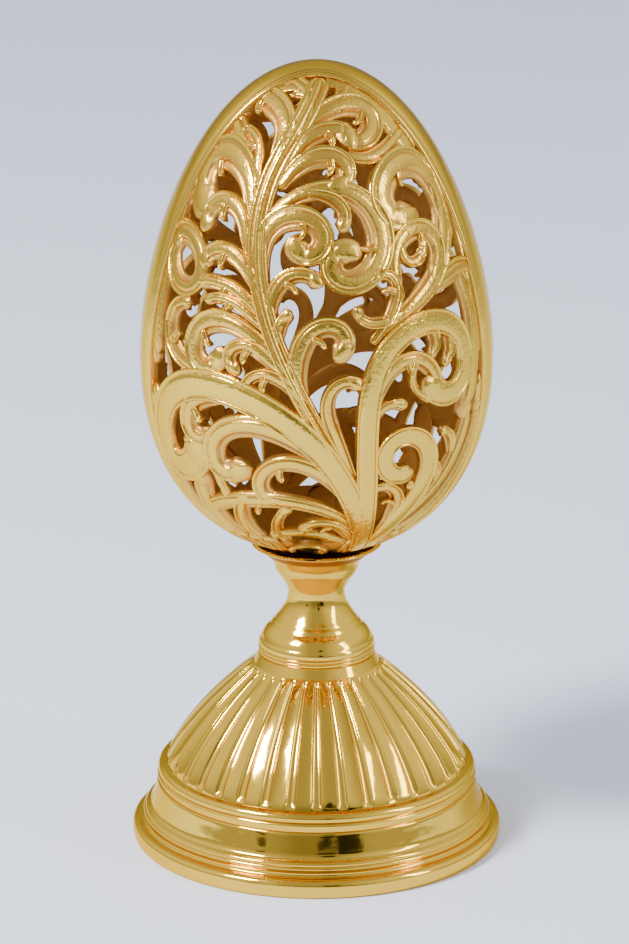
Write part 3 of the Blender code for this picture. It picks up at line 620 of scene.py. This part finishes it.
def band_piece(material):
    """The smooth band that runs right round the egg between the two panels."""
    centre = EGG_BOTTOM + EGG_HEIGHT * 0.45
    theta = np.linspace(0.0, 2 * math.pi, BAND_TURNS, endpoint=False)
    # A row has the side, the distance from that rim and the lift; rows between the edges
    # have side 0 and a share of the half width
    rows = [(-1, distance, lift) for distance, lift in BAND_EDGE]
    rows += [(0, place, 0.0) for place in np.linspace(-0.60, 0.60, 13)]
    rows += [(1, distance, lift) for distance, lift in reversed(BAND_EDGE)]
    rows += [(0, place, -1.60) for place in (0.6, 0.0, -0.6)]
    grid = []
    hollow = []
    for side, distance, lift in rows:
        low = np.zeros(BAND_TURNS)
        high = np.full(BAND_TURNS, 0.06)
        for _ in range(40):
            reach = (low + high) / 2
            x = reach * np.cos(theta)
            z = centre + reach * np.sin(theta)
            rise = np.clip((z - EGG_BOTTOM) / EGG_HEIGHT * 2.0 - 1.0, -1.0, 1.0)
            angle = np.arcsin(rise)
            half = band_half(angle)
            y = side * (half - distance * MM) if side else distance * half
            inside = (egg_radius(angle) ** 2 > x**2 + y**2) & (np.abs(rise) < 1.0)
            low = np.where(inside, reach, low)
            high = np.where(inside, high, reach)
        radius = np.hypot(x, y)
        normal = egg_normal(np.arctan2(x, -y), nearest_angle(radius, z, angle))
        grid.append(np.stack([x, y, z], axis=-1) + normal * lift * MM)
        # painted shade in the grooves of the band's edges, more where they lie lower
        hollow.append(np.full(BAND_TURNS, max(0.0, min(1.0, -lift))))
    points = np.concatenate(grid)
    faces = grid_faces(len(rows), BAND_TURNS, 0, close_rows=True)
    add_piece(
        "band", points, faces, material, "openwork_egg",
        np.concatenate(hollow),
    )


def smooth_line(points, between=3):
    """A smooth line through points; a point given twice stays a corner."""
    line = []
    for place in range(len(points) - 1):
        one, other = np.array(points[place]), np.array(points[place + 1])
        if np.allclose(one, other):
            continue
        before = np.array(points[max(place - 1, 0)])
        after = np.array(points[min(place + 2, len(points) - 1)])
        for step in range(between):
            share = step / between
            line.append(
                0.5 * (2 * one + (other - before) * share
                       + (2 * before - 5 * one + 4 * other - after) * share**2
                       + (3 * one - before - 3 * other + after) * share**3)
            )
    line.append(np.array(points[-1]))
    return line


def turned_piece(name, profile, azimuth, material, node, inset=None, hollow=None):
    """Turn a profile, listed in millimetres from the top axis down to the bottom axis."""
    profile = np.array(profile)[1:-1]
    columns = len(azimuth)
    radius = np.repeat(profile[:, :1], columns, axis=1)
    height = np.repeat(profile[:, 1:], columns, axis=1)
    if inset:
        radius = radius - inset(azimuth[None, :], height)
    x = radius * np.sin(azimuth)
    y = -radius * np.cos(azimuth)
    points = np.stack([x, y, height], axis=-1).reshape(-1, 3) * MM
    faces = [face[::-1] for face in grid_faces(len(profile), columns)]
    faces.append(list(range(columns)))
    last = (len(profile) - 1) * columns
    faces.append([last + column for column in range(columns)][::-1])
    if hollow is not None:
        hollow = np.repeat(hollow, columns)
    add_piece(name, points, faces, material, node, hollow)


def dome_profile():
    """The collar and the bulging dome, from the middle of its top to the shelf."""
    line = [(0.0, 31.5), (9.3, 31.5), (9.55, 31.4), (9.75, 31.0), (10.0, 30.5), (10.3, 29.9)]
    closed = 1.0 - (COLLAR_RADIUS / DOME_RADIUS) ** DOME_FULLNESS
    for share in np.linspace(1.0, 0.0, 61):
        open_share = 1.0 - closed * share**DOME_FULLNESS
        radius = DOME_RADIUS * open_share ** (1 / DOME_FULLNESS)
        line.append((radius, DOME_BOTTOM + DOME_RISE * share))
    return line


def flute_azimuths():
    """Columns of the fluted base, closer together in the flutes than between them."""
    pitch = 2 * math.pi / FLUTE_COUNT
    side = np.array([0.35, 0.7, 0.9, 0.99, 1.2, 1.45]) * FLUTE_HALF_ANGLE
    one = np.concatenate([-side[::-1], [0.0], side, [pitch / 2]])
    return (np.arange(FLUTE_COUNT)[:, None] * pitch + one[None, :]).reshape(-1)


def flute_inset(azimuth, height):
    """How far the flutes cut into the dome: narrow gouges with rounded ends and raised lips."""
    pitch = 2 * math.pi / FLUTE_COUNT
    offset = ((azimuth + pitch / 2) % pitch - pitch / 2) / FLUTE_HALF_ANGLE
    across = np.clip(1.0 - offset**2, 0.0, 1.0)
    lip = np.exp(-(((np.abs(offset) - 1.2) / 0.22) ** 2))
    lower = np.clip((height - FLUTE_LOW_END) / 0.7, 0.0, 1.0)
    upper = np.clip((FLUTE_TOP_END - height) / 0.6, 0.0, 1.0)
    ends = np.sqrt(1.0 - (1.0 - lower) ** 2) * np.sqrt(1.0 - (1.0 - upper) ** 2)
    return (FLUTE_DEPTH * np.sqrt(across) - LIP_HEIGHT * lip) * ends


def cap_piece(material):
    """The whole bottom of the egg's shell, below the leaves."""
    rings = 24
    meridian = np.linspace(0.0, BASE_CAP, rings + 1)[1:]
    angle = angle_at(meridian)
    drop = np.interp(meridian / MM, (9.0, 10.0, 15.5, 16.5), (-0.25, -0.85, -0.85, -1.1))
    outer = egg_point(0.0, angle, drop * MM)
    inner = egg_point(0.0, angle, np.full(rings, -SHELL))
    line = np.concatenate([outer, inner[::-1]])
    profile = [(-y / MM, z / MM) for _, y, z in line]
    profile = [(0.0, profile[-1][1])] + profile[::-1] + [(0.0, profile[0][1])]
    # painted shade: full on the inside of the shell, and outside more where it lies lower
    hollow = np.concatenate([np.ones(rings), np.interp(drop[::-1], (-0.85, -0.25), (0.8, 0.2))])
    turned_piece(
        "egg_bottom", profile, EVEN_TURN, material, "openwork_egg",
        hollow=hollow,
    )


def add_camera():
    """A long lens from a little above, as the photo was taken."""
    data = bpy.data.cameras.new("camera")
    data.sensor_width = 36.0
    data.lens = CAMERA_LENS
    data.clip_start = 0.01
    camera = bpy.data.objects.new("camera", data)
    away = CAMERA_DISTANCE * math.cos(CAMERA_ELEVATION)
    camera.location = (CAMERA_SIDESTEP, -away, CAMERA_DISTANCE * math.sin(CAMERA_ELEVATION))
    camera.rotation_euler = (math.pi / 2 - CAMERA_PITCH, 0.0, 0.0)
    bpy.context.scene.collection.objects.link(camera)
    bpy.context.scene.camera = camera


def add_softbox(name, location, size, power):
    """A rectangular area light aimed at the egg."""
    data = bpy.data.lights.new(name, "AREA")
    data.shape = "RECTANGLE"
    data.size, data.size_y = size
    data.energy = power
    light = bpy.data.objects.new(name, data)
    light.location = location
    aim = np.array(LIGHT_TARGET) - np.array(location)
    flat = math.hypot(aim[0], aim[1])
    light.rotation_euler = (
        math.atan2(flat, -aim[2]), 0.0, math.atan2(-aim[0], aim[1])
    )
    bpy.context.scene.collection.objects.link(light)


def add_floor():
    """A pale seamless floor."""
    mesh = bpy.data.meshes.new("floor")
    reach = 3.0
    corners = [(-reach, -reach, 0), (reach, -reach, 0), (reach, reach, 0), (-reach, reach, 0)]
    mesh.from_pydata(corners, [], [(0, 1, 2, 3)])
    material = bpy.data.materials.new("pale_floor")
    material.use_nodes = True
    shader = material.node_tree.nodes["Principled BSDF"]
    shader.inputs["Base Color"].default_value = PALE_FLOOR
    shader.inputs["Roughness"].default_value = 0.7
    mesh.materials.append(material)
    floor = bpy.data.objects.new("floor", mesh)
    bpy.context.scene.collection.objects.link(floor)


def spread_range(nodes, links, source, low, high, to_low, to_high):
    """A smooth step from one value to another as the source runs from low to high."""
    step = nodes.new("ShaderNodeMapRange")
    step.interpolation_type = "SMOOTHSTEP"
    step.inputs["From Min"].default_value = low
    step.inputs["From Max"].default_value = high
    step.inputs["To Min"].default_value = to_low
    step.inputs["To Max"].default_value = to_high
    links.new(source, step.inputs["Value"])
    return step.outputs["Result"]


def combine(nodes, links, operation, one, other=None):
    """The outcome of a math node on one or two values."""
    node = nodes.new("ShaderNodeMath")
    node.operation = operation
    links.new(one, node.inputs[0])
    if other is not None:
        links.new(other, node.inputs[1])
    return node.outputs["Value"]


def add_world():
    """A tent of soft light: bright to both sides, dimmer elsewhere, with dark openings."""
    world = bpy.data.worlds.new("studio")
    world.use_nodes = True
    nodes = world.node_tree.nodes
    links = world.node_tree.links
    place = nodes.new("ShaderNodeTexCoord")
    split = nodes.new("ShaderNodeSeparateXYZ")
    links.new(place.outputs["Generated"], split.inputs["Vector"])
    ramp = nodes.new("ShaderNodeValToRGB")
    ramp.color_ramp.elements[0].position = 0.0
    ramp.color_ramp.elements[0].color = TENT_BELOW
    ramp.color_ramp.elements[1].position = 0.45
    ramp.color_ramp.elements[1].color = TENT_ABOVE
    links.new(split.outputs["Z"], ramp.inputs["Fac"])
    links.new(ramp.outputs["Color"], nodes["Background"].inputs["Color"])
    sideways = combine(nodes, links, "ABSOLUTE", split.outputs["X"])
    strength = spread_range(nodes, links, sideways, 0.15, 0.75, TENT_FRONT, TENT_SIDES)
    for direction, flatness, reach in TENT_GAPS:
        flattened = nodes.new("ShaderNodeVectorMath")
        flattened.operation = "MULTIPLY"
        flattened.inputs[1].default_value = (1.0, 1.0, flatness)
        links.new(place.outputs["Generated"], flattened.inputs[0])
        gap = nodes.new("ShaderNodeVectorMath")
        gap.operation = "DISTANCE"
        across, away, up = direction
        gap.inputs[1].default_value = (across, away, up * flatness)
        links.new(flattened.outputs["Vector"], gap.inputs[0])
        opening = spread_range(
            nodes, links, gap.outputs["Value"], reach, reach + OPENING_EDGE, OPENING_LIGHT, 1.0
        )
        strength = combine(nodes, links, "MULTIPLY", strength, opening)
    links.new(strength, nodes["Background"].inputs["Strength"])
    bpy.context.scene.world = world


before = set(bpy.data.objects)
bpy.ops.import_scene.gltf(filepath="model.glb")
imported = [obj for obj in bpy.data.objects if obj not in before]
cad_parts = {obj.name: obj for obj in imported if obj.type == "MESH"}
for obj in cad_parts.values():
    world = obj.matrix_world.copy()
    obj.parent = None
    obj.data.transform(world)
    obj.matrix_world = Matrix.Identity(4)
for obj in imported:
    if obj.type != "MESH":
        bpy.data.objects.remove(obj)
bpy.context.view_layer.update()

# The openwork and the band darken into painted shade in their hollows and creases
openwork_gold = gold_material("openwork_gold", OPENWORK_GOLD, 0.12, 0.00009, PAINTED_SHADE_GOLD)
band_gold = gold_material("band_gold", OPENWORK_GOLD, 0.14, 0.00002, PAINTED_SHADE_GOLD)
# a plate of painted shadow for the niche behind the arch
niche_shadow_paint = gold_material("niche_shadow_paint", NICHE_SHADOW_GOLD, 0.45, 0.000004)
# the cup and stem, with painted shade on the cup's inside under the egg
stem_gold = gold_material("stem_gold", STAND_GOLD, 0.09, 0.000004, CUP_SHADE_GOLD)
base_gold = gold_material("base_gold", STAND_GOLD, 0.09, 0.000006)

# Groups of scrolls: table, section, level of the crown, sink of the root, bulb of the tip,
# and for the niche the thickness
stem_groups = [
    (STEMS[:2] + STEMS[3:4], BROAD_STEM, 0.0, 0.0, 0.6),
    (STEMS[2:3], RIDGED_STEM, -0.02, 0.0, 0.0),
    (STEMS[4:], ROLLED_LEAF, -0.05, 0.2, 1.0),
]
plume_groups = [
    (LEAVES_LEFT_OF_PLUME, ROLLED_LEAF, -0.05, 0.3, 1.0),
    (LEAVES_RIGHT_OF_PLUME, ROLLED_LEAF, -0.05, 0.3, 1.0),
]
side_groups = [
    (LININGS, BROAD_STEM, -0.42, 0.0, 0.0),
    (SPRIGS, ROLLED_LEAF, -0.08, 0.2, 1.0),
    (root_ribs(), RIDGED_STEM, -0.12, 0.0, 0.0),
    (NICHE_ARCH, ROLLED_LEAF, -0.02, 0.0, 0.0),
    (RIGHT_SCROLLS, ROLLED_LEAF, -0.10, 0.3, 0.8),
    (LEFT_SCROLLS, ROLLED_LEAF, -0.22, 0.2, 0.8),
    (BASE_LEAVES, ROLLED_LEAF, -0.12, 0.3, 0.8),
]
# the niche: a thin plate, dark with painted shadow, behind the arch
niche_shadow_groups = [(NICHE_SHADOW_PATCH, BROAD_STEM, -0.80, 0.0, 0.0, NICHE_SHELL)]
plume_spurs = spurs(LEAVES_LEFT_OF_PLUME + LEAVES_RIGHT_OF_PLUME)
side_spurs = spurs(RIGHT_SCROLLS[:12] + LEFT_SCROLLS[:2] + BASE_LEAVES[:4])
spur_groups = [
    (plume_spurs, ROLLED_LEAF, -0.15, 0.0, 0.6),
    (side_spurs, ROLLED_LEAF, -0.2, 0.0, 0.6),
]
for turned, side in ((False, "front"), (True, "back")):
    leaf_piece(side + "_stems", stem_groups, turned, openwork_gold)
    leaf_piece(side + "_plume_leaves", plume_groups, turned, openwork_gold)
    leaf_piece(side + "_side_leaves", side_groups, turned, openwork_gold)
    leaf_piece(side + "_spurs", spur_groups, turned, openwork_gold)
    leaf_piece(side + "_niche_shadow", niche_shadow_groups, turned, niche_shadow_paint)
band_piece(band_gold)
cap_piece(openwork_gold)
stem_line = smooth_line(STEM_PROFILE)
# painted shade on the inside of the cup, under the egg
painted_cup_shade = np.array([radius < 9.9 and height > 48.6 for radius, height in stem_line[1:-1]])
turned_piece(
    "turned_cup_and_stem", stem_line, EVEN_TURN, stem_gold, "cup_and_stem",
    hollow=painted_cup_shade.astype(float),
)
turned_piece(
    "fluted_dome_and_foot", dome_profile() + smooth_line(FOOT_PROFILE), flute_azimuths(),
    base_gold, "fluted_base", flute_inset,
)

add_floor()
add_world()
add_softbox("key", (-0.55, -0.35, 0.75), (0.24, 0.24), 17.0)
add_softbox("fill", (0.70, -0.30, 0.45), (0.14, 0.55), 2.6)
add_camera()
